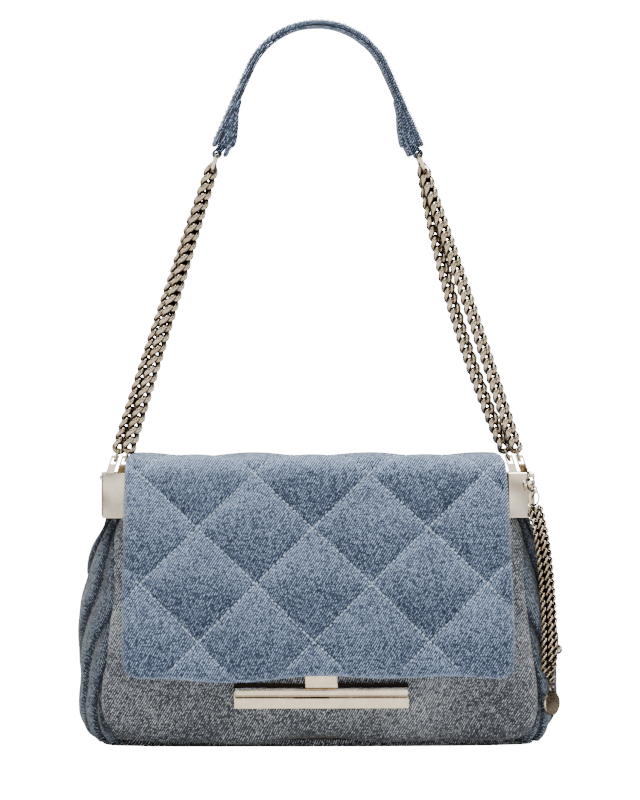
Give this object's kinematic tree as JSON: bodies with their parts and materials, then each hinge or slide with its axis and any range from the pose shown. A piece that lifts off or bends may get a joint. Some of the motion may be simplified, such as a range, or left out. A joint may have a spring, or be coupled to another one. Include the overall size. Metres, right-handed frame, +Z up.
{
  "type": "shoulder bag",
  "caption": "Quilted denim shoulder bag with a front flap, a bar clasp, paired curb chains on a denim shoulder pad and a hanging tassel charm.",
  "frame": {"origin": "centre of the flat base, on the surface the bag would stand on", "axes": "+Z up towards the strap's crown, +X to the right side seen from the front, front towards -Y"},
  "size_m": [0.2682, 0.0961, 0.4033],
  "materials": {
    "flap_denim": "blue washed twill, quilted",
    "panel_denim": "grey-blue washed twill, quilted",
    "gusset_denim": "darker blue-grey washed twill",
    "lining_cloth": "plain woven lining",
    "champagne_metal": "polished, pale champagne plating",
    "magnet_steel": "dark plated disc magnet"
  },
  "bodies": {
    "strap": {"shoulder_pad": "flap_denim", "strap_tab_left": "flap_denim", "strap_tab_right": "flap_denim", "ring_left": "champagne_metal", "ring_right": "champagne_metal"},
    "chains": {"chain_left_front": "champagne_metal", "chain_left_rear": "champagne_metal", "chain_right_front": "champagne_metal", "chain_right_rear": "champagne_metal", "connector_left_front": "champagne_metal", "connector_left_rear": "champagne_metal", "connector_right_front": "champagne_metal", "connector_right_rear": "champagne_metal"},
    "bag": {"front_panel": "panel_denim", "rear_panel": "panel_denim", "gusset_left": "gusset_denim", "gusset_right": "gusset_denim", "base_panel": "panel_denim", "base_board": "lining_cloth", "lining": "lining_cloth", "inner_pocket": "lining_cloth", "end_cap_left": "champagne_metal", "end_cap_right": "champagne_metal", "strap_pin_left": "champagne_metal", "strap_pin_right": "champagne_metal", "clasp_rail": "champagne_metal", "clasp_backing": "champagne_metal", "magnet_left": "magnet_steel", "magnet_right": "magnet_steel", "flap_top": "flap_denim"},
    "flap": {"flap_front": "flap_denim", "flap_facing": "panel_denim", "clasp_tab": "champagne_metal", "clasp_bar": "champagne_metal"},
    "charm": {"charm_hook": "champagne_metal", "charm_ring": "champagne_metal", "tassel_strand_1": "champagne_metal", "tassel_strand_2": "champagne_metal", "tassel_strand_3": "champagne_metal", "tassel_strand_4": "champagne_metal", "tassel_strand_5": "champagne_metal"},
    "trigger": {"charm_lever": "champagne_metal"},
    "ball": {"charm_ball": "champagne_metal"},
    "disc": {"charm_disc": "champagne_metal"}
  },
  "joints": [
    {"name": "chain_swing", "type": "hinge", "parent": "strap", "child": "chains", "pos_m": [0, 0, 0.3193], "axis": [1, 0, 0], "range_deg": [-15, 15]},
    {"name": "bag_tilt", "type": "hinge", "parent": "chains", "child": "bag", "pos_m": [0, 0, 0.1487], "axis": [1, 0, 0], "range_deg": [-35, 35]},
    {"name": "flap_open", "type": "hinge", "parent": "bag", "child": "flap", "pos_m": [0, -0.015, 0.157], "axis": [-1, 0, 0], "range_deg": [0, 150]},
    {"name": "charm_swing", "type": "hinge", "parent": "bag", "child": "charm", "pos_m": [0.117, -0.01224, 0.1502], "axis": [-1, 0, 0], "range_deg": [0, 50]},
    {"name": "charm_trigger", "type": "hinge", "parent": "charm", "child": "trigger", "pos_m": [0.11522, -0.01829, 0.14382], "axis": [-0.0928, -0.8007, 0.5918], "range_deg": [0, 22], "stiffness_Nm_per_rad": 0.001},
    {"name": "ball_swing", "type": "hinge", "parent": "charm", "child": "ball", "pos_m": [0.13064, -0.02408, 0.062], "axis": [0.7431, -0.6691, 0], "range_deg": [0, 35]},
    {"name": "disc_swing", "type": "hinge", "parent": "charm", "child": "disc", "pos_m": [0.12898, -0.02748, 0.032], "axis": [-0.6691, -0.7431, 0], "range_deg": [0, 40]}
  ]
}
